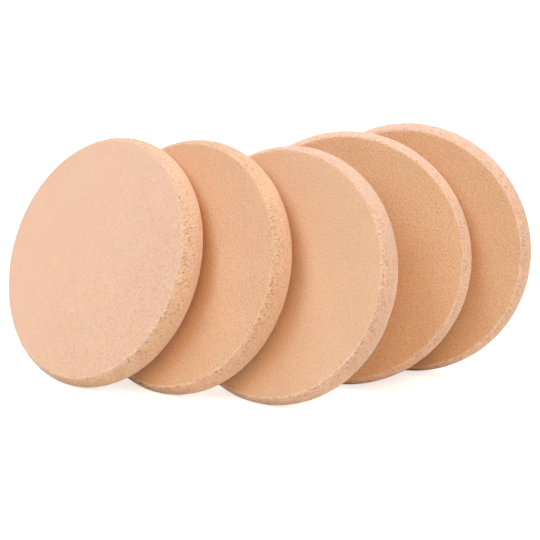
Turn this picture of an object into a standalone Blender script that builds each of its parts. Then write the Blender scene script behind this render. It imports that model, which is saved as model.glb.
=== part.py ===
# A set of five round foam makeup sponges, standing on edge in a fanned row.
# Each sponge leans back on the next one. Metres and degrees, +Z up, with the viewer on the -Y side.
# The origin is on the table, under the middle of the row.

import math

import bpy
from mathutils import Matrix, Vector

# One sponge, a disc punched from a sheet of foam
SPONGE_DIAMETER = 0.060  # at the widest part of the side wall, half way through the foam
SPONGE_THICKNESS = 0.0072  # from one flat face to the other
WALL_BULGE = 0.0015  # how far the side wall swells out past the edge of each face
EDGE_RADIUS = 0.0005  # the soft corner where a face turns into the wall
FOOT_DEPTH = 0.0005  # how much of the wall is pressed flat where the sponge stands on the table

# The row
LEAN_GAP = 0.0003  # air between a sponge and the one that it leans on
FRONT_STEP = 0.0196  # along the row, from the front sponge to the second
SECOND_STEP = 0.0225  # from the second sponge to the middle one
MIDDLE_STEP = 0.0151  # from the middle sponge to the fourth
FOURTH_STEP = 0.0153  # from the fourth sponge to the back one
CUTTER_HEIGHT = 0.010  # the block that cuts the feet flat

# From the back sponge to the front one: name, step along the row from the sponge behind it, degrees that
# the front face tips back from upright, degrees that it turns towards the left of the viewer
SPONGES = (
    ("back_sponge", 0, 8.5, 22.0),
    ("fourth_sponge", FOURTH_STEP, 15.5, 15.5),
    ("middle_sponge", MIDDLE_STEP, 20.5, 36.0),
    ("second_sponge", SECOND_STEP, 22.0, 41.0),
    ("front_sponge", FRONT_STEP, 25.0, 44.5),
)

# How finely the turned form is divided
TURN_STEPS = 72
WALL_STEPS = 7
EDGE_STEPS = 2
SHARP_ANGLE = 35
MERGE_DISTANCE = 0.00001

# The search for where a leaning sponge stands: the slopes tried each way, and the rounds that narrow them
SEARCH_SLOPE = 0.8
SEARCH_STEPS = 8
SEARCH_ROUNDS = 6

FOAM_COLOUR = (0.87, 0.57, 0.41)
FOAM_ROUGHNESS = 0.95


def arc(centre, radius, start, end, steps):
    # Points on an arc in the profile's plane, angles in radians from the outward direction
    points = []
    for step in range(steps + 1):
        angle = start + (end - start) * step / steps
        points.append((centre[0] + radius * math.cos(angle), centre[1] + radius * math.sin(angle)))
    return points


def sponge_profile():
    # Half of the sponge's section as (radius, height), down the outer side from the middle of the upper face
    half = SPONGE_THICKNESS / 2
    wall_radius = (half ** 2 + WALL_BULGE ** 2) / (2 * WALL_BULGE)
    wall_centre = SPONGE_DIAMETER / 2 - wall_radius
    corner_height = half - EDGE_RADIUS
    corner_reach = math.sqrt((wall_radius - EDGE_RADIUS) ** 2 - corner_height ** 2)
    corner_centre = wall_centre + corner_reach
    turn = math.atan2(corner_height, corner_reach)
    upper = arc((corner_centre, corner_height), EDGE_RADIUS, math.pi / 2, turn, EDGE_STEPS)
    wall = arc((wall_centre, 0), wall_radius, turn, -turn, WALL_STEPS)
    lower = arc((corner_centre, -corner_height), EDGE_RADIUS, -turn, -math.pi / 2, EDGE_STEPS)
    return [(0, half)] + upper + wall[1:-1] + lower + [(0, -half)]


PROFILE = sponge_profile()


def face_direction(lean, turn):
    # The way that a sponge's front face looks
    lean = math.radians(lean)
    turn = math.radians(turn)
    return Vector((-math.sin(turn) * math.cos(lean), -math.cos(turn) * math.cos(lean), math.sin(lean)))


def reach(facing, way):
    # How far a sponge that faces one way reaches from its centre along another
    along = max(-1, min(1, facing.dot(way)))
    across = math.sqrt(1 - along ** 2)
    return max(radius * across + height * along for radius, height in PROFILE)


def distance_in_front(facing, offset, other_facing):
    # How far towards the viewer a sponge stands from the one that it leans on, so that the gap is left.
    # The offset is the sponge's place from the other one along the row and upwards. Each way of looking at
    # the pair gives a distance at which the gap shows, and the least of them is the one that holds.
    side = Vector((0, 0, 1)).cross(other_facing).normalized()
    up = other_facing.cross(side)
    middle = other_facing
    spread = SEARCH_SLOPE
    nearest = None
    for _ in range(SEARCH_ROUNDS):
        best = middle
        for across in range(-SEARCH_STEPS, SEARCH_STEPS + 1):
            for upward in range(-SEARCH_STEPS, SEARCH_STEPS + 1):
                slope = side * (across * spread / SEARCH_STEPS) + up * (upward * spread / SEARCH_STEPS)
                way = (middle + slope).normalized()
                if way.y >= 0:
                    continue
                need = LEAN_GAP + reach(facing, -way) + reach(other_facing, way) - offset.dot(way)
                distance = need / -way.y
                if nearest is None or distance < nearest:
                    nearest = distance
                    best = way
        middle = best
        spread /= SEARCH_STEPS / 2
    return nearest


def row_places():
    # Each sponge's centre and the way it faces, with the row's box centred over the origin
    places = []
    for _, step, lean, turn in SPONGES:
        facing = face_direction(lean, turn)
        height = reach(facing, Vector((0, 0, -1))) - FOOT_DEPTH
        if not places:
            places.append((Vector((0, 0, height)), facing))
            continue
        behind, behind_facing = places[-1]
        offset = Vector((-step, 0, height - behind.z))
        offset.y = -distance_in_front(facing, offset, behind_facing)
        places.append((behind + offset, facing))
    middle = Vector((0, 0, 0))
    for axis in (Vector((1, 0, 0)), Vector((0, 1, 0))):
        high = max(centre.dot(axis) + reach(facing, axis) for centre, facing in places)
        low = min(centre.dot(axis) - reach(facing, -axis) for centre, facing in places)
        middle += axis * (high + low) / 2
    return [(centre - middle, facing) for centre, facing in places]


def clear_scene():
    for thing in list(bpy.data.objects):
        bpy.data.objects.remove(thing, do_unlink=True)


def new_collection(name):
    collection = bpy.data.collections.new(name)
    bpy.context.scene.collection.children.link(collection)
    return collection


def foam_material(name):
    material = bpy.data.materials.new(name + "_foam")
    material.use_nodes = True
    shader = material.node_tree.nodes["Principled BSDF"]
    shader.inputs["Base Color"].default_value = (*FOAM_COLOUR, 1)
    shader.inputs["Roughness"].default_value = FOAM_ROUGHNESS
    shader.inputs["Metallic"].default_value = 0
    return material


def turned_sponge():
    # The sponge's mesh: the section turned once round the Z axis, with its front face upwards
    mesh = bpy.data.meshes.new("sponge_section")
    points = [(radius, 0, height) for radius, height in PROFILE]
    mesh.from_pydata(points, [(i, i + 1) for i in range(len(points) - 1)], [])
    section = bpy.data.objects.new("sponge_section", mesh)
    bpy.context.scene.collection.objects.link(section)
    screw = section.modifiers.new("turn", "SCREW")
    screw.axis = "Z"
    screw.angle = math.tau
    screw.steps = TURN_STEPS
    screw.render_steps = TURN_STEPS
    screw.use_merge_vertices = True
    screw.merge_threshold = MERGE_DISTANCE
    evaluated = section.evaluated_get(bpy.context.evaluated_depsgraph_get())
    turned = bpy.data.meshes.new_from_object(evaluated)
    bpy.data.objects.remove(section, do_unlink=True)
    turned.shade_smooth()
    turned.set_sharp_from_angle(angle=math.radians(SHARP_ANGLE))
    return turned


def table_cutter(places, collection):
    # A block whose top is the table, wide enough to pass under the whole row
    width = 2 * (max(centre.xy.length for centre, _ in places) + SPONGE_DIAMETER)
    shape = Matrix.Diagonal((width, width, CUTTER_HEIGHT, 1))
    bpy.ops.mesh.primitive_cube_add(size=1)
    cutter = bpy.context.active_object
    cutter.name = "table_cutter"
    cutter.data.transform(Matrix.Translation((0, 0, -CUTTER_HEIGHT / 2)) @ shape)
    for owner in list(cutter.users_collection):
        owner.objects.unlink(cutter)
    collection.objects.link(cutter)
    cutter.hide_render = True
    cutter.display_type = "WIRE"
    return cutter


def add_sponge(name, form, place, cutter, collection):
    # One sponge, with its centre at its origin and its local Z out of its front face
    centre, facing = place
    side = Vector((0, 0, 1)).cross(facing).normalized()
    up = facing.cross(side)
    turned = Matrix((side, up, facing)).transposed().to_4x4()
    mesh = form.copy()
    mesh.name = name
    mesh.materials.append(foam_material(name))
    sponge = bpy.data.objects.new(name, mesh)
    collection.objects.link(sponge)
    sponge.matrix_world = Matrix.Translation(centre) @ turned
    foot = sponge.modifiers.new("flat_foot", "BOOLEAN")
    foot.operation = "DIFFERENCE"
    foot.solver = "EXACT"
    foot.object = cutter
    return sponge


def lean_on(sponge, behind):
    # The sponge rests on the one behind it and follows it when that one is lifted
    bpy.context.view_layer.update()
    sponge.parent = behind
    sponge.matrix_parent_inverse = behind.matrix_world.inverted()


def main():
    clear_scene()
    sponges = new_collection("makeup_sponges")
    cutters = new_collection("cutters")
    places = row_places()
    form = turned_sponge()
    cutter = table_cutter(places, cutters)
    behind = None
    for (name, *_), place in zip(SPONGES, places):
        sponge = add_sponge(name, form, place, cutter, sponges)
        if behind:
            lean_on(sponge, behind)
        behind = sponge
        print(name, "centre", [round(value, 5) for value in place[0]])
    bpy.data.meshes.remove(form)


main()
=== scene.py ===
import math

import bpy
from mathutils import Matrix, Vector


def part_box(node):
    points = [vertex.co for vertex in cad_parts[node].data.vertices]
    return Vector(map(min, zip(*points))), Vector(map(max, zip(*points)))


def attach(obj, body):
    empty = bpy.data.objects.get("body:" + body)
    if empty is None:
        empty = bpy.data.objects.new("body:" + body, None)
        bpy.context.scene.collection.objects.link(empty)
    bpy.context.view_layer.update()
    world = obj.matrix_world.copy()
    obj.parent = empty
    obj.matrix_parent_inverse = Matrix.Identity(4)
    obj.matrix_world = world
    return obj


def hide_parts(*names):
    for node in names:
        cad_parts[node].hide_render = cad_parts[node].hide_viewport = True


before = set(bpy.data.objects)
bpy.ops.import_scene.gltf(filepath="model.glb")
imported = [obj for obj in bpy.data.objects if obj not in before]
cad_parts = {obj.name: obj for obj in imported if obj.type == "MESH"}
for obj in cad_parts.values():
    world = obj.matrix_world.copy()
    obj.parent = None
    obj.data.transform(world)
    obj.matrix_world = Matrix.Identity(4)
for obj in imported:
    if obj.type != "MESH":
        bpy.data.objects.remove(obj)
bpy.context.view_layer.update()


def putNode(tree, kind, sockets=None, **settings):
    # One node, with its settings, and its sockets set or linked
    made = tree.nodes.new(kind)
    for name, value in settings.items():
        setattr(made, name, value)
    for socket, value in (sockets or {}).items():
        if isinstance(value, bpy.types.NodeSocket):
            tree.links.new(value, made.inputs[socket])
        else:
            made.inputs[socket].default_value = value
    return made


def mathNode(tree, operation, first, second=None):
    sockets = {0: first} if second is None else {0: first, 1: second}
    return putNode(tree, "ShaderNodeMath", sockets, operation=operation).outputs[0]


def times(tree, first, second):
    return mathNode(tree, "MULTIPLY", first, second)


def vectorNode(tree, operation, first, second=None, output=0):
    sockets = {0: first} if second is None else {0: first, 1: second}
    return putNode(tree, "ShaderNodeVectorMath", sockets, operation=operation).outputs[output]


def scaledVector(tree, vector, factor):
    return putNode(tree, "ShaderNodeVectorMath", {0: vector, "Scale": factor}, operation="SCALE").outputs[0]


def joinedVector(tree, **parts):
    return putNode(tree, "ShaderNodeCombineXYZ", parts).outputs[0]


def splitVector(tree, vector):
    return putNode(tree, "ShaderNodeSeparateXYZ", {0: vector}).outputs


def rangeNode(tree, value, low, high, toLow=0.0, toHigh=1.0, smooth=False):
    kind = "SMOOTHSTEP" if smooth else "LINEAR"
    return putNode(tree, "ShaderNodeMapRange", {0: value, 1: low, 2: high, 3: toLow, 4: toHigh},
                   interpolation_type=kind).outputs[0]


def noiseNode(tree, vector, scale, **more):
    return putNode(tree, "ShaderNodeTexNoise", {"Vector": vector, "Scale": scale, **more}).outputs[0]


# The turned form of one sponge, in metres, as the CAD has it
spongeForm = {
    "diameter": 0.060,  # at the middle of the wall
    "thickness": 0.0072,
    "wallBulge": 0.0015,
    "edgeRadius": 0.0005,
    "footDepth": 0.0005,
    "faceRings": 18,
    "edgeRings": 7,
    "edgeZone": 0.003,  # finer rings beside the edge
    "around": 360,
    "wallSteps": 15,
    "edgeSteps": 2,
    "waviness": 0.00012,  # how far the foam falls short of a true disc
    "waveScale": 65.0,
    "roughness": 0.00005,  # the torn look of the cut foam, close up
    "roughScale": 620.0,
    "fray": 0.00016,  # deeper tears along both edges
    "frayZone": 0.0011,
    "frayNoise": (0.45, 0.75),  # higher tears less
    "topZone": (0.45, 0.75),  # where a sponge's smoother top begins and is full, in radii above its middle
    "creaseAngle": 32,  # edges that bend more stay sharp, in degrees
    "joinWithin": 0.00001,
    "seedStep": 0.37,  # how far each seed moves the noise
}

# Open cells that show as pits, in metres
porePits = {
    "spacing": 0.00070,
    "smallest": 0.00009,
    "largest": 0.00025,
    "largestOnFace": 0.8,  # share of the largest
    "smallOnes": 2.2,  # higher leaves fewer large pits
    "least": (0.75, 0.75, 0.30),  # how far a pit is squeezed or stretched, its depth last
    "most": (1.35, 1.35, 0.60),
    "onFace": 0.07,  # share of the places that hold a pit
    "byTheEdge": 0.95,
    "onWall": 0.16,
    "atTop": 0.35,  # share of them left at the top of a sponge
    "edgeBand": 0.0030,
    "bandStart": 0.0004,
    "wallStart": (0.0004, 0.0001),  # how far inside the rim the wall's share begins and is full
    "clumpScale": 190.0,
    "clumpNoise": (0.35, 0.65),
    "clumpShare": (0.45, 1.3),
    "mostPlaces": 4000000.0,  # on a square metre
    "sides": 7,
    "rings": 4,
    "stretchSeed": 7,
    "spinSeed": 11,
}


def spongeTree():
    # A turned disc of foam with a flat foot and pits, placed as its inputs say
    tree = bpy.data.node_groups.new("turnedFoamSponge", "GeometryNodeTree")
    sockets = tree.interface
    sockets.new_socket("Geometry", in_out="INPUT", socket_type="NodeSocketGeometry")
    for name, kind in (
        ("Diameter", "Float"), ("Thickness", "Float"), ("Wall bulge", "Float"), ("Edge radius", "Float"),
        ("Face rings", "Int"), ("Edge rings", "Int"), ("Edge zone", "Float"),
        ("Around", "Int"), ("Wall steps", "Int"), ("Edge steps", "Int"),
        ("Waviness", "Float"), ("Wave scale", "Float"), ("Roughness", "Float"), ("Rough scale", "Float"),
        ("Fray", "Float"), ("Fray zone", "Float"),
        ("Place", "Vector"), ("Turn", "Rotation"),
        ("Pit spacing", "Float"), ("Smallest pit", "Float"), ("Largest pit", "Float"),
        ("Pits on face", "Float"), ("Pits by the edge", "Float"), ("Pits on wall", "Float"),
        ("Pits at the top", "Float"), ("Edge band", "Float"), ("Pit sides", "Int"), ("Pit rings", "Int"),
        ("Seed", "Int"), ("Foam", "Material"),
    ):
        sockets.new_socket(name, in_out="INPUT", socket_type="NodeSocket" + kind)
    sockets.new_socket("Geometry", in_out="OUTPUT", socket_type="NodeSocketGeometry")
    given = tree.nodes.new("NodeGroupInput").outputs
    result = tree.nodes.new("NodeGroupOutput")
    place = tree.nodes.new("GeometryNodeInputPosition").outputs[0]
    radius = times(tree, given["Diameter"], 0.5)
    half = times(tree, given["Thickness"], 0.5)
    lower = times(tree, half, -1.0)
    rim = mathNode(tree, "SUBTRACT", radius, given["Wall bulge"])

    def awayFromAxis(parts):
        return mathNode(tree, "SQRT", mathNode(tree, "ADD", times(tree, parts["X"], parts["X"]),
                                               times(tree, parts["Y"], parts["Y"])))

    # The section, from the middle of the front face over the wall to the middle of the back
    zone = mathNode(tree, "SUBTRACT", rim, given["Edge zone"])
    wall = putNode(tree, "GeometryNodeCurveArc", {
        "Resolution": given["Wall steps"], "Start": joinedVector(tree, X=rim, Y=half),
        "Middle": joinedVector(tree, X=radius, Y=0.0), "End": joinedVector(tree, X=rim, Y=lower)}, mode="POINTS")
    parts = tree.nodes.new("GeometryNodeJoinGeometry")
    for level in (half, lower):
        for start, end, count in ((0.0, zone, given["Face rings"]), (zone, rim, given["Edge rings"])):
            line = putNode(tree, "GeometryNodeCurvePrimitiveLine", {
                0: joinedVector(tree, X=start, Y=level), 1: joinedVector(tree, X=end, Y=level)})
            rings = putNode(tree, "GeometryNodeResampleCurve", {"Curve": line.outputs[0], "Count": count})
            tree.links.new(rings.outputs[0], parts.inputs[0])
    tree.links.new(wall.outputs[0], parts.inputs[0])
    wire = putNode(tree, "GeometryNodeCurveToMesh", {"Curve": parts.outputs[0]})
    wire = putNode(tree, "GeometryNodeMergeByDistance", {
        "Geometry": wire.outputs[0], "Distance": spongeForm["joinWithin"]})
    section = putNode(tree, "GeometryNodeMeshToCurve", {"Mesh": wire.outputs[0]})

    # Only the two corners at the rim are softened
    here = splitVector(tree, place)
    atRim = putNode(tree, "ShaderNodeMath", {0: here["X"], 1: rim, 2: spongeForm["joinWithin"]},
                    operation="COMPARE").outputs[0]
    atFace = mathNode(tree, "GREATER_THAN", mathNode(tree, "ABSOLUTE", here["Y"]), times(tree, half, 0.99))
    softened = putNode(tree, "GeometryNodeFilletCurve", {
        "Curve": section.outputs[0], "Count": given["Edge steps"],
        "Radius": times(tree, times(tree, atRim, atFace), given["Edge radius"])}, mode="POLY")

    # Turned round the axis: the section is swept along a circle as wide as the rim
    inward = putNode(tree, "GeometryNodeTransform", {
        "Geometry": softened.outputs[0], "Translation": joinedVector(tree, X=times(tree, rim, -1.0))})
    path = putNode(tree, "GeometryNodeCurvePrimitiveCircle", {"Resolution": given["Around"], "Radius": rim})
    path = putNode(tree, "GeometryNodeSetCurveNormal", {"Curve": path.outputs[0]}, mode="Z_UP")
    turned = putNode(tree, "GeometryNodeCurveToMesh", {
        "Curve": path.outputs[0], "Profile Curve": inward.outputs[0]})
    disc = putNode(tree, "GeometryNodeMergeByDistance", {
        "Geometry": turned.outputs[0], "Distance": spongeForm["joinWithin"]})

    # Foam is never quite true: the skin dips in a little, in broad waves, in a fine grain, and more where
    # it is torn beside the edges
    seedShift = times(tree, given["Seed"], spongeForm["seedStep"])
    shifted = vectorNode(tree, "ADD", place, seedShift)
    waves = noiseNode(tree, shifted, given["Wave scale"], Detail=1.0)
    grain = noiseNode(tree, shifted, given["Rough scale"], Detail=2.0)
    here = splitVector(tree, place)
    fromFace = mathNode(tree, "SUBTRACT", half, mathNode(tree, "ABSOLUTE", here["Z"]))
    fromRim = mathNode(tree, "ABSOLUTE", mathNode(tree, "SUBTRACT", awayFromAxis(here), rim))
    byEdge = rangeNode(tree, mathNode(tree, "ADD", fromRim, fromFace), 0.0, given["Fray zone"], 1.0, 0.0,
                       smooth=True)
    tears = times(tree, rangeNode(tree, grain, *spongeForm["frayNoise"]), byEdge)
    dip = mathNode(tree, "ADD", times(tree, waves, given["Waviness"]), times(tree, grain, given["Roughness"]))
    dip = mathNode(tree, "ADD", dip, times(tree, tears, given["Fray"]))
    normal = tree.nodes.new("GeometryNodeInputNormal").outputs[0]
    disc = putNode(tree, "GeometryNodeSetPosition", {
        "Geometry": disc.outputs[0], "Offset": scaledVector(tree, normal, times(tree, dip, -1.0))})
    disc = putNode(tree, "GeometryNodeTransform", {
        "Geometry": disc.outputs[0], "Translation": given["Place"], "Rotation": given["Turn"]})

    # The table presses a flat foot
    block = (0.4, 0.4, 0.02)
    table = putNode(tree, "GeometryNodeMeshCube", {"Size": block})
    table = putNode(tree, "GeometryNodeTransform", {
        "Geometry": table.outputs[0], "Translation": (0, 0, -block[2] / 2)})
    body = putNode(tree, "GeometryNodeMeshBoolean", {0: disc.outputs[0], 1: table.outputs[0]}, solver="MANIFOLD")

    # Where pits may be: most of them in the wall beside the front edge, in clumps, and few at the top
    away = vectorNode(tree, "SUBTRACT", place, given["Place"])
    backTurn = putNode(tree, "FunctionNodeInvertRotation", {0: given["Turn"]}).outputs[0]
    inSheet = putNode(tree, "FunctionNodeRotateVector", {0: away, 1: backTurn}).outputs[0]
    local = splitVector(tree, inSheet)
    begins, isFull = (mathNode(tree, "SUBTRACT", rim, inside) for inside in porePits["wallStart"])
    onWall = rangeNode(tree, awayFromAxis(local), begins, isFull)
    fromFront = mathNode(tree, "SUBTRACT", half, local["Z"])
    nearFront = rangeNode(tree, fromFront, porePits["bandStart"], given["Edge band"], 1.0, 0.0, smooth=True)
    wallShare = rangeNode(tree, nearFront, 0.0, 1.0, given["Pits on wall"], given["Pits by the edge"])
    share = rangeNode(tree, onWall, 0.0, 1.0, given["Pits on face"], wallShare)
    begins, isFull = (times(tree, rim, part) for part in spongeForm["topZone"])
    share = times(tree, share, rangeNode(tree, local["Y"], begins, isFull, 1.0, given["Pits at the top"],
                                         smooth=True))
    clump = noiseNode(tree, vectorNode(tree, "ADD", inSheet, seedShift), porePits["clumpScale"], Detail=1.0)
    share = times(tree, share, rangeNode(tree, clump, *porePits["clumpNoise"], *porePits["clumpShare"]))
    spots = putNode(tree, "GeometryNodeDistributePointsOnFaces", {
        "Mesh": body.outputs[0], "Distance Min": given["Pit spacing"], "Density Max": porePits["mostPlaces"],
        "Density Factor": share, "Seed": given["Seed"]}, distribute_method="POISSON")

    # Each pit is a squeezed ball of its own size, turned at random, and cut out of the foam
    chance = putNode(tree, "FunctionNodeRandomValue", {"Min": 0.0, "Max": 1.0, "Seed": given["Seed"]},
                     data_type="FLOAT").outputs[1]
    ceiling = rangeNode(tree, onWall, 0.0, 1.0, times(tree, given["Largest pit"], porePits["largestOnFace"]),
                        given["Largest pit"])
    wide = rangeNode(tree, mathNode(tree, "POWER", chance, porePits["smallOnes"]), 0.0, 1.0,
                     given["Smallest pit"], ceiling)
    uneven = putNode(tree, "FunctionNodeRandomValue", {
        0: porePits["least"], 1: porePits["most"], "Seed": porePits["stretchSeed"]},
        data_type="FLOAT_VECTOR").outputs[0]
    spin = putNode(tree, "FunctionNodeRandomValue", {
        0: (0, 0, 0), 1: (0, 0, math.tau), "Seed": porePits["spinSeed"]}, data_type="FLOAT_VECTOR").outputs[0]
    spin = putNode(tree, "FunctionNodeEulerToRotation", {0: spin}).outputs[0]
    spin = putNode(tree, "FunctionNodeRotateRotation", {0: spots.outputs["Rotation"], 1: spin},
                   rotation_space="LOCAL").outputs[0]
    ball = putNode(tree, "GeometryNodeMeshUVSphere", {
        "Segments": given["Pit sides"], "Rings": given["Pit rings"], "Radius": 1.0})
    pits = putNode(tree, "GeometryNodeInstanceOnPoints", {
        "Points": spots.outputs["Points"], "Instance": ball.outputs[0], "Rotation": spin,
        "Scale": scaledVector(tree, uneven, wide)})
    pits = putNode(tree, "GeometryNodeRealizeInstances", {0: pits.outputs[0]})
    foam = putNode(tree, "GeometryNodeMeshBoolean", {0: body.outputs[0], 1: pits.outputs[0]}, solver="MANIFOLD")

    # What the material reads: how deep in a pit a point lies, and its place within the sponge
    skin = putNode(tree, "GeometryNodeProximity", {0: body.outputs[0], "Sample Position": place},
                   target_element="FACES")
    for title, kind, value in (("pitDepth", "FLOAT", skin.outputs["Distance"]),
                               ("inSheet", "FLOAT_VECTOR", inSheet)):
        foam = putNode(tree, "GeometryNodeStoreNamedAttribute", {
            "Geometry": foam.outputs[0], "Name": title, "Value": value}, data_type=kind)
    foam = putNode(tree, "GeometryNodeSetShadeSmooth", {"Geometry": foam.outputs[0], "Shade Smooth": True})
    bend = tree.nodes.new("GeometryNodeInputMeshEdgeAngle").outputs[0]
    creased = mathNode(tree, "GREATER_THAN", bend, math.radians(spongeForm["creaseAngle"]))
    foam = putNode(tree, "GeometryNodeSetShadeSmooth", {
        "Geometry": foam.outputs[0], "Selection": creased, "Shade Smooth": False}, domain="EDGE")
    foam = putNode(tree, "GeometryNodeRealizeInstances", {0: foam.outputs[0]})
    foam = putNode(tree, "GeometryNodeSetMaterial", {"Geometry": foam.outputs[0], "Material": given["Foam"]})
    tree.links.new(foam.outputs[0], result.inputs[0])
    print("sponge tree with", len(tree.nodes), "nodes")
    return tree


# Each sponge: the CAD node it replaces, its body, and its lean and turn in degrees, as the CAD has them. Then its
# shades of foam, on the faces and on the cut wall: partly the foam's own tone and partly painted light and shade,
# so that the sponges, and each wall against its faces, are lit and shaded copies of one foam. Then how strongly
# its grain shows. On the faces that goes from the one value to the other, in the direction that grainWay gives in
# degrees
spongeRow = {
    "frontFoam": dict(
        node="front_sponge", body="front", lean=25.0, turn=44.5, seed=3,
        face=(0.881, 0.546, 0.380), wall=(0.898, 0.573, 0.378),
        grain=(0.25, 1.15), grainWay=-12, wallGrain=2.2),
    "secondFoam": dict(
        node="second_sponge", body="second", lean=22.0, turn=41.0, seed=17,
        face=(0.848, 0.499, 0.300), wall=(0.894, 0.551, 0.354),
        grain=(1.1, 1.5), grainWay=0, wallGrain=2.2),
    "middleFoam": dict(
        node="middle_sponge", body="middle", lean=20.5, turn=36.0, seed=29,
        face=(0.827, 0.507, 0.316), wall=(0.867, 0.560, 0.400),
        grain=(0.9, 1.1), grainWay=120, wallGrain=1.7),
    "fourthFoam": dict(
        node="fourth_sponge", body="fourth", lean=15.5, turn=15.5, seed=41,
        face=(0.829, 0.505, 0.301), wall=(0.940, 0.609, 0.440),
        grain=(1.5, 1.6), grainWay=45, wallGrain=2.0),
    "backFoam": dict(
        node="back_sponge", body="back", lean=8.5, turn=22.0, seed=53,
        face=(0.792, 0.475, 0.281), wall=(0.876, 0.561, 0.410),
        grain=(1.5, 1.6), grainWay=45, wallGrain=1.5),
}


def faceDirection(lean, turn):
    # The way that a sponge's front face looks, from its lean and turn in degrees
    lean, turn = math.radians(lean), math.radians(turn)
    return Vector((-math.sin(turn) * math.cos(lean), -math.cos(turn) * math.cos(lean), math.sin(lean)))


def downwardReach(facing):
    # How far the true disc would reach below its middle
    half = spongeForm["thickness"] / 2
    bulge = spongeForm["wallBulge"]
    wallRadius = (half ** 2 + bulge ** 2) / (2 * bulge)
    middle = spongeForm["diameter"] / 2 - wallRadius
    return middle * math.hypot(facing.x, facing.y) + wallRadius


def spongePlace(look):
    # Over the middle of its CAD node's box, at the height that leaves the foot flat
    low, high = (Vector(corner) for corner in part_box(look["node"]))
    facing = faceDirection(look["lean"], look["turn"])
    side = Vector((0, 0, 1)).cross(facing).normalized()
    rotation = Matrix((side, facing.cross(side), facing)).transposed()
    height = downwardReach(facing) - spongeForm["footDepth"]
    return Vector(((low.x + high.x) / 2, (low.y + high.y) / 2, height)), rotation


def setInput(modifier, name, value):
    # A modifier knows its inputs by the socket's identifier
    for socket in modifier.node_group.interface.items_tree:
        if socket.in_out == "INPUT" and socket.name == name:
            modifier[socket.identifier] = value


def makeSponge(name, look, tree, foam):
    place, rotation = spongePlace(look)
    start = bpy.data.objects.new(name + "Start", bpy.data.meshes.new(name + "Start"))
    bpy.context.scene.collection.objects.link(start)
    nodes = start.modifiers.new("foam", "NODES")
    nodes.node_group = tree
    for title, value in (
        ("Diameter", spongeForm["diameter"]), ("Thickness", spongeForm["thickness"]),
        ("Wall bulge", spongeForm["wallBulge"]), ("Edge radius", spongeForm["edgeRadius"]),
        ("Face rings", spongeForm["faceRings"]), ("Edge rings", spongeForm["edgeRings"]),
        ("Edge zone", spongeForm["edgeZone"]), ("Around", spongeForm["around"]),
        ("Wall steps", spongeForm["wallSteps"]), ("Edge steps", spongeForm["edgeSteps"]),
        ("Waviness", spongeForm["waviness"]), ("Wave scale", spongeForm["waveScale"]),
        ("Roughness", spongeForm["roughness"]), ("Rough scale", spongeForm["roughScale"]),
        ("Fray", spongeForm["fray"]), ("Fray zone", spongeForm["frayZone"]),
        ("Place", place), ("Turn", rotation.to_euler()),
        ("Pit spacing", porePits["spacing"]), ("Smallest pit", porePits["smallest"]),
        ("Largest pit", porePits["largest"]), ("Pits on face", porePits["onFace"]),
        ("Pits by the edge", porePits["byTheEdge"]), ("Pits on wall", porePits["onWall"]),
        ("Pits at the top", porePits["atTop"]), ("Edge band", porePits["edgeBand"]),
        ("Pit sides", porePits["sides"]), ("Pit rings", porePits["rings"]),
        ("Seed", look["seed"]), ("Foam", foam),
    ):
        setInput(nodes, title, value)
    evaluated = start.evaluated_get(bpy.context.evaluated_depsgraph_get())
    mesh = bpy.data.meshes.new_from_object(evaluated)
    start.modifiers.remove(nodes)
    bpy.data.objects.remove(start, do_unlink=True)
    mesh.name = name
    mesh.materials.clear()  # the cuts leave an empty slot before the foam
    mesh.materials.append(foam)
    mesh.polygons.foreach_set("material_index", [0] * len(mesh.polygons))
    sponge = bpy.data.objects.new(name, mesh)
    bpy.context.scene.collection.objects.link(sponge)
    mesh.calc_loop_triangles()
    print("sponge", name, "place", [round(v, 5) for v in place], "triangles", len(mesh.loop_triangles))
    return sponge


# The cells of open foam: how much of each goes into the height, and which part of the noise counts
foamCells = {
    "bending": 0.7,  # in cells
    "openFrom": (0.93, 1.10),  # chance and openness together, from where a cell is open
    "mouthReach": (0.15, 0.50),  # in cells
    "grainNoise": (0.25, 0.75),
    "grainRoughness": 0.45,
    "cellReach": (0.1, 0.8),
    "grainPart": 0.75,
    "cellPart": 0.25,
    "mouthPart": 0.4,
}

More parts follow.
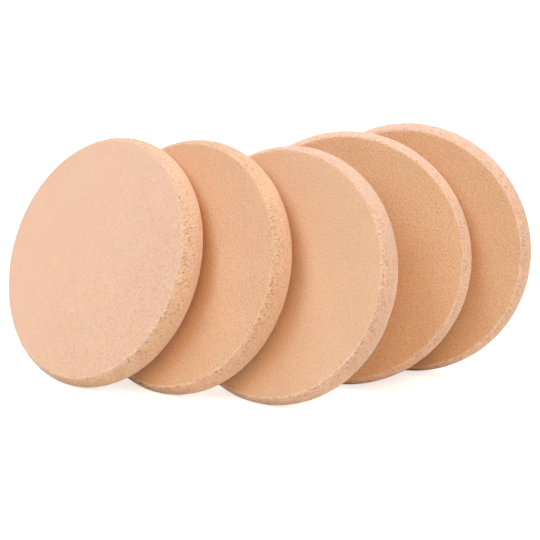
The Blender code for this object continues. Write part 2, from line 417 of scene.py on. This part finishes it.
# How the foam looks, sizes in metres
foamLook = {
    # painted shade in the relief's hollows, also the tone of the broad random mottle; painted highlight on its
    # ridges
    "mottleAndHollowShade": (0.92, 0.75, 0.63),
    "paintedRidgeHighlight": (1.035, 1.085, 1.12),
    # painted shade in the mouths of the open cells
    "paintedMouthShade": (0.92, 0.72, 0.54),
    # painted shade inside the pits
    "paintedPitShade": (0.98, 0.74, 0.54),
    # painted highlight along the front and back edges
    "paintedEdgeHighlight": (1.0, 0.79, 0.61),
    "faceCells": 0.00030,
    "faceGrain": 0.00024,
    "wallCells": 0.00055,
    "wallGrain": 0.00048,
    "faceRelief": 0.00012,
    "wallRelief": 0.00026,
    # how strongly the painted shade and highlight of the relief show, on the faces and on the wall
    "faceContrast": 1.4,
    "wallContrast": 0.68,
    # how strongly the painted shade in the cells' mouths shows
    "mouths": 0.5,
    "backOpenness": 0.05,  # of the wall's half by the back
    "wallOpenness": 0.4,  # of its half by the front
    "backGrain": 0.45,  # share of the wall's grain by the back
    "openHalf": (-0.6, 0.9),  # from the one half to the other, in half thicknesses
    "mottleSize": 0.009,
    "mottleNoise": (0.35, 0.65),
    "mottling": 0.12,
    "sliceTurn": 60,  # degrees
    "sliceStretch": 2.0,
    "seedStep": 0.01,  # how far each seed moves the faces' grain
    "grainSpan": (-0.6, 0.8),  # where the faces' grain changes, in radii
    "edgeStart": 0.0003,  # the wall's shade begins this far inside the rim
    "edgeEnd": 0.0001,  # and is full this far outside
    "frontBack": 0.0001,  # from the middle, where the front's edge gives way to the back's
    # the painted edge highlight: its width at the front and the back, its rays, and its strength
    "highlightWidth": 0.0007,
    "backHighlightWidth": 0.0010,
    "raySize": 0.0006,
    "rayNoise": (0.42, 0.58),
    "leastRays": 0.2,
    "backRays": 0.8,
    "edgeHighlightStrength": 0.9,
    "highlightFades": (-0.6, 0.1),  # in radii above the middle
    "topHighlightShare": 0.35,  # share of the painted edge highlight left higher up
    "topFaceGrain": 0.85,  # share of the grain left at the top
    "topWallGrain": 0.65,
    "pitStart": 0.00001,
    "pitDepth": 0.00013,
    "roughness": 0.80,
    "gloss": 0.2,
    "glow": 0.30,  # light that travels through the foam
    "glowRadius": (1.0, 0.50, 0.15),
    "glowScale": 0.0012,
    "fuzz": 0.25,
    "fuzzRoughness": 0.4,
    "fuzzTint": (1.0, 0.86, 0.76),
}


def shaderGroup(name, sockets, results):
    # An empty group with its named inputs and outputs
    group = bpy.data.node_groups.new(name, "ShaderNodeTree")
    for way, wanted in (("INPUT", sockets), ("OUTPUT", results)):
        for title, kind in wanted.items():
            group.interface.new_socket(title, in_out=way, socket_type="NodeSocket" + kind)
    return group, group.nodes.new("NodeGroupInput").outputs, group.nodes.new("NodeGroupOutput").inputs


def useGroup(tree, group, sockets):
    return putNode(tree, "ShaderNodeGroup", sockets, node_tree=group).outputs


def mixedColours(tree, share, first, second):
    return putNode(tree, "ShaderNodeMix", {"Factor": share, 6: first, 7: second}, data_type="RGBA").outputs[2]


def mixedValues(tree, share, first, second):
    return putNode(tree, "ShaderNodeMix", {"Factor": share, 2: first, 3: second}).outputs[0]


def tinted(tree, share, colour, tint):
    return putNode(tree, "ShaderNodeMix", {"Factor": share, 6: colour, 7: tint}, data_type="RGBA",
                   blend_type="MULTIPLY", clamp_factor=True).outputs[2]


def foamRelief():
    # The torn skin of open foam: its height, about -0.5 to 0.5, and a mask of the mouths of the cells
    group, given, result = shaderGroup(
        "foamRelief",
        {"Vector": "Vector", "Cell size": "Float", "Grain size": "Float", "Openness": "Float"},
        {"Height": "Float", "Mouths": "Float"})
    cellScale = mathNode(group, "DIVIDE", 1.0, given["Cell size"])
    grainScale = mathNode(group, "DIVIDE", 1.0, given["Grain size"])
    bend = putNode(group, "ShaderNodeTexNoise", {"Vector": given["Vector"], "Scale": cellScale, "Detail": 1.0})
    bend = scaledVector(group, bend.outputs["Color"], times(group, given["Cell size"], foamCells["bending"]))
    cells = putNode(group, "ShaderNodeTexVoronoi", {
        "Vector": vectorNode(group, "ADD", given["Vector"], bend), "Scale": cellScale}).outputs
    chance = putNode(group, "ShaderNodeSeparateColor", {0: cells["Color"]}).outputs[0]
    isOpen = rangeNode(group, mathNode(group, "ADD", chance, given["Openness"]), *foamCells["openFrom"])
    mouths = rangeNode(group, cells["Distance"], *foamCells["mouthReach"], 1.0, 0.0, smooth=True)
    mouths = times(group, mouths, isOpen)
    grain = noiseNode(group, given["Vector"], grainScale, Detail=1.0, Roughness=foamCells["grainRoughness"])
    grain = rangeNode(group, grain, *foamCells["grainNoise"], -0.5, 0.5)
    walls = rangeNode(group, cells["Distance"], *foamCells["cellReach"], -0.5, 0.5)
    height = mathNode(group, "ADD", times(group, grain, foamCells["grainPart"]),
                      times(group, walls, foamCells["cellPart"]))
    height = mathNode(group, "SUBTRACT", height, times(group, mouths, foamCells["mouthPart"]))
    group.links.new(height, result["Height"])
    group.links.new(mouths, result["Mouths"])
    return group


def foamTint():
    # The colour of the foam: face or wall, mottled, with painted highlight on its ridges and painted shade in its
    # hollows
    group, given, result = shaderGroup(
        "foamTint",
        {"Vector": "Vector", "Face": "Color", "Wall": "Color", "On wall": "Float", "Height": "Float",
         "Contrast": "Float", "Mottle and painted hollow shade": "Color", "Painted ridge highlight": "Color", "Mottle size": "Float"},
        {"Color": "Color"})
    shade = mixedColours(group, given["On wall"], given["Face"], given["Wall"])
    mottleScale = mathNode(group, "DIVIDE", 1.0, given["Mottle size"])
    broad = noiseNode(group, given["Vector"], mottleScale, Detail=3.0, Roughness=0.5)
    mottled = rangeNode(group, broad, *foamLook["mottleNoise"], 0.0, foamLook["mottling"])
    shade = tinted(group, mottled, shade, given["Mottle and painted hollow shade"])
    # Painted shade in the hollows of the relief and painted highlight on its ridges
    ridge = times(group, times(group, given["Height"], 2.0), given["Contrast"])
    shade = tinted(group, times(group, ridge, -1.0), shade, given["Mottle and painted hollow shade"])
    shade = tinted(group, ridge, shade, given["Painted ridge highlight"])
    group.links.new(shade, result["Color"])
    return group


def foamMaterial(name, look, relief, tint):
    material = bpy.data.materials.new(name)
    material.use_nodes = True
    tree = material.node_tree
    surface = tree.nodes["Principled BSDF"].inputs
    inSheet = putNode(tree, "ShaderNodeAttribute", attribute_name="inSheet").outputs["Vector"]
    depth = putNode(tree, "ShaderNodeAttribute", attribute_name="pitDepth").outputs["Fac"]
    coords = tree.nodes.new("ShaderNodeTexCoord").outputs["Object"]

    # Where the surface is: on a face or on the wall, how far from the edge between them, and how high
    rim = spongeForm["diameter"] / 2 - spongeForm["wallBulge"]
    half = spongeForm["thickness"] / 2
    local = splitVector(tree, inSheet)
    out = vectorNode(tree, "LENGTH", joinedVector(tree, X=local["X"], Y=local["Y"]), output=1)
    fromFace = mathNode(tree, "SUBTRACT", half, mathNode(tree, "ABSOLUTE", local["Z"]))
    fromRim = mathNode(tree, "ABSOLUTE", mathNode(tree, "SUBTRACT", out, rim))
    besideEdge = mathNode(tree, "ADD", fromRim, fromFace)
    onWall = rangeNode(tree, out, rim - foamLook["edgeStart"], rim + foamLook["edgeEnd"], smooth=True)
    atTop = rangeNode(tree, local["Y"], *(part * rim for part in spongeForm["topZone"]), smooth=True)

    # A painted highlight along both edges, in short rays, and most of it low down
    fray = noiseNode(tree, coords, 1 / foamLook["raySize"], Detail=1.0, Roughness=0.5)
    split = foamLook["frontBack"]
    rays = mathNode(tree, "MAXIMUM", rangeNode(tree, fray, *foamLook["rayNoise"], foamLook["leastRays"], 1.0),
                    rangeNode(tree, local["Z"], split, -split, 0.0, foamLook["backRays"]))
    highlightWidth = rangeNode(tree, local["Z"], -split, split, foamLook["backHighlightWidth"], foamLook["highlightWidth"])
    edgeHighlight = times(tree, rangeNode(tree, besideEdge, 0.0, highlightWidth, 1.0, 0.0, smooth=True), rays)
    higher = (part * rim for part in foamLook["highlightFades"])
    edgeHighlight = times(tree, edgeHighlight, rangeNode(tree, local["Y"], *higher, 1.0, foamLook["topHighlightShare"], smooth=True))

    # The blade leaves its faint lines across the faces, so the grain is drawn out along them
    along = putNode(tree, "ShaderNodeMapping", {
        "Vector": inSheet, "Rotation": (0, 0, math.radians(foamLook["sliceTurn"])),
        "Scale": (foamLook["sliceStretch"], 1.0, 1.0)}, vector_type="TEXTURE").outputs[0]
    faceSkin = useGroup(tree, relief, {
        "Vector": vectorNode(tree, "ADD", along, (look["seed"] * foamLook["seedStep"],) * 3), "Openness": 0.0,
        "Cell size": foamLook["faceCells"], "Grain size": foamLook["faceGrain"]})
    grainWay = math.radians(look["grainWay"])
    across = vectorNode(tree, "DOT_PRODUCT", inSheet, (math.cos(grainWay), math.sin(grainWay), 0.0), output=1)
    span = (part * rim for part in foamLook["grainSpan"])
    faceRise = times(tree, faceSkin["Height"], rangeNode(tree, across, *span, *look["grain"]))

    # The wall's half by the front face is the more open one
    byFront = rangeNode(tree, local["Z"], *(part * half for part in foamLook["openHalf"]))
    openness = rangeNode(tree, byFront, 0.0, 1.0, foamLook["backOpenness"], foamLook["wallOpenness"])
    wallSkin = useGroup(tree, relief, {"Vector": coords, "Openness": openness, "Cell size": foamLook["wallCells"],
                                       "Grain size": foamLook["wallGrain"]})
    wallRise = times(tree, times(tree, wallSkin["Height"], look["wallGrain"]),
                     rangeNode(tree, byFront, 0.0, 1.0, foamLook["backGrain"], 1.0))

    # Face and wall together, smoother at the top
    rise = mixedValues(tree, onWall, faceRise, wallRise)
    mouths = mixedValues(tree, onWall, faceSkin["Mouths"], wallSkin["Mouths"])
    topGrain = rangeNode(tree, onWall, 0.0, 1.0, foamLook["topFaceGrain"], foamLook["topWallGrain"])
    rise = times(tree, rise, rangeNode(tree, atTop, 0.0, 1.0, 1.0, topGrain))

    # The colour: foam, a painted highlight along its edges, and painted shade in the mouths of its cells and in
    # its pits
    contrast = rangeNode(tree, onWall, 0.0, 1.0, foamLook["faceContrast"], foamLook["wallContrast"])
    # Face and Wall: each sponge's shades, partly the foam's own tone and partly painted light and shade
    shade = useGroup(tree, tint, {
        "Vector": coords, "Face": (*look["face"], 1), "Wall": (*look["wall"], 1), "On wall": onWall,
        "Height": rise, "Contrast": contrast, "Mottle and painted hollow shade": (*foamLook["mottleAndHollowShade"], 1),
        "Painted ridge highlight": (*foamLook["paintedRidgeHighlight"], 1), "Mottle size": foamLook["mottleSize"]})["Color"]
    # Painted highlight along the edges
    shade = mixedColours(tree, times(tree, edgeHighlight, foamLook["edgeHighlightStrength"]), shade, (*foamLook["paintedEdgeHighlight"], 1))
    # Painted shade in the mouths of the cells
    shade = tinted(tree, times(tree, mouths, foamLook["mouths"]), shade, (*foamLook["paintedMouthShade"], 1))
    # Painted shade inside the pits, full from pitDepth in
    inPit = rangeNode(tree, depth, foamLook["pitStart"], foamLook["pitDepth"])
    shade = tinted(tree, inPit, shade, (*foamLook["paintedPitShade"], 1))
    tree.links.new(shade, surface["Base Color"])

    reliefDepth = rangeNode(tree, onWall, 0.0, 1.0, foamLook["faceRelief"], foamLook["wallRelief"])
    bump = putNode(tree, "ShaderNodeBump", {
        "Strength": 1.0, "Distance": 1.0, "Height": times(tree, rise, reliefDepth)})
    tree.links.new(bump.outputs[0], surface["Normal"])
    tree.links.new(rangeNode(tree, mouths, 0.0, 1.0, foamLook["roughness"], 1.0), surface["Roughness"])
    surface["Metallic"].default_value = 0.0
    surface["Specular IOR Level"].default_value = foamLook["gloss"]
    surface["Subsurface Weight"].default_value = foamLook["glow"]
    surface["Subsurface Radius"].default_value = foamLook["glowRadius"]
    surface["Subsurface Scale"].default_value = foamLook["glowScale"]
    surface["Sheen Weight"].default_value = foamLook["fuzz"]
    surface["Sheen Roughness"].default_value = foamLook["fuzzRoughness"]
    surface["Sheen Tint"].default_value = (*foamLook["fuzzTint"], 1)
    return material


# The viewpoint, in degrees and metres
cameraView = {
    "azimuth": 0.03,
    "elevation": 18.26,
    "roll": -1.33,
    "distance": 0.3978,
    "lens": 113.66,  # millimetres
    "aim": (0.001303, 0.0, 0.027006),
}


def makeCamera():
    az, el, roll = (math.radians(cameraView[name]) for name in ("azimuth", "elevation", "roll"))
    ahead = Vector((-math.sin(az) * math.cos(el), math.cos(az) * math.cos(el), -math.sin(el)))
    right = Vector((math.cos(az), math.sin(az), 0))
    up = right.cross(ahead)
    up, right = up * math.cos(roll) + right * math.sin(roll), right * math.cos(roll) - up * math.sin(roll)
    data = bpy.data.cameras.new("viewpoint")
    data.lens = cameraView["lens"]
    data.clip_start = 0.01
    camera = bpy.data.objects.new("viewpoint", data)
    bpy.context.scene.collection.objects.link(camera)
    turn = Matrix((right, up, -ahead)).transposed().to_4x4()
    camera.matrix_world = Matrix.Translation(Vector(cameraView["aim"]) - ahead * cameraView["distance"]) @ turn
    bpy.context.scene.camera = camera
    print("camera at", [round(v, 4) for v in camera.matrix_world.translation])


# A pale floor, a white room, and soft round lamps with their azimuths from the viewer's side, in degrees.
# The floor's glow and the white room are for the camera alone, and light nothing
studio = {
    "floorSize": 6.0,
    "floorShade": (0.95, 0.91, 0.82),
    "floorGlow": 0.70,
    "roomWhite": 1.0,
    "lampAway": 3.0,
    "lampSize": 1.7,
    "lamps": [
        dict(name="frontLamp", azimuth=0, elevation=40, power=31.8, tint=(1.0, 0.73, 0.37)),
        dict(name="leftLamp", azimuth=315, elevation=40, power=41.3, tint=(0.52, 0.76, 1.0)),
        dict(name="highLeftLamp", azimuth=270, elevation=65, power=34.7, tint=(0.68, 0.81, 1.0)),
        dict(name="rightLamp", azimuth=90, elevation=40, power=18.3, tint=(0.65, 0.80, 1.0)),
        dict(name="highRightLamp", azimuth=90, elevation=65, power=43.0, tint=(1.0, 0.95, 0.93)),
        dict(name="backLamp", azimuth=180, elevation=40, power=20.0, tint=(0.91, 0.93, 1.0)),
        dict(name="lowBackLamp", azimuth=190, elevation=12, power=24.0, tint=(1.0, 0.98, 0.96)),
    ],
}


def forCameraOnly(tree, strength, socket):
    seen = tree.nodes.new("ShaderNodeLightPath").outputs["Is Camera Ray"]
    tree.links.new(times(tree, seen, strength), socket)


def makeFloor():
    size = studio["floorSize"] / 2
    mesh = bpy.data.meshes.new("paleFloor")
    corners = [(-size, -size, 0), (size, -size, 0), (size, size, 0), (-size, size, 0)]
    mesh.from_pydata(corners, [], [(0, 1, 2, 3)])
    floor = bpy.data.objects.new("paleFloor", mesh)
    bpy.context.scene.collection.objects.link(floor)
    pale = bpy.data.materials.new("paleFloor")
    pale.use_nodes = True
    surface = pale.node_tree.nodes["Principled BSDF"].inputs
    surface["Base Color"].default_value = (*studio["floorShade"], 1)
    surface["Roughness"].default_value = 1.0
    surface["Specular IOR Level"].default_value = 0.0
    surface["Emission Color"].default_value = (1, 1, 1, 1)
    forCameraOnly(pale.node_tree, studio["floorGlow"], surface["Emission Strength"])
    mesh.materials.append(pale)


def makeLamps():
    for look in studio["lamps"]:
        data = bpy.data.lights.new(look["name"], "AREA")
        data.shape = "DISK"
        data.size = studio["lampSize"]
        data.energy = look["power"]
        data.color = look["tint"]
        lamp = bpy.data.objects.new(look["name"], data)
        bpy.context.scene.collection.objects.link(lamp)
        az, el = math.radians(look["azimuth"]), math.radians(look["elevation"])
        towards = Vector((math.sin(az) * math.cos(el), -math.cos(az) * math.cos(el), math.sin(el)))
        lamp.location = towards * studio["lampAway"]
        lamp.rotation_euler = (-towards).to_track_quat("-Z", "Y").to_euler()
    print("studio with", len(studio["lamps"]), "lamps")


def makeRoom():
    world = bpy.data.worlds.new("whiteRoom")
    world.use_nodes = True
    back = world.node_tree.nodes["Background"].inputs
    back["Color"].default_value = (1, 1, 1, 1)
    forCameraOnly(world.node_tree, studio["roomWhite"], back["Strength"])
    bpy.context.scene.world = world
    bpy.context.scene.view_settings.view_transform = "Standard"


makeCamera()
makeFloor()
makeLamps()
makeRoom()
tree = spongeTree()
relief = foamRelief()
tint = foamTint()
print("foam groups", relief.name, "and", tint.name)
for name, look in spongeRow.items():
    sponge = makeSponge(name, look, tree, foamMaterial(name, look, relief, tint))
    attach(sponge, look["body"])
    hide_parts(look["node"])
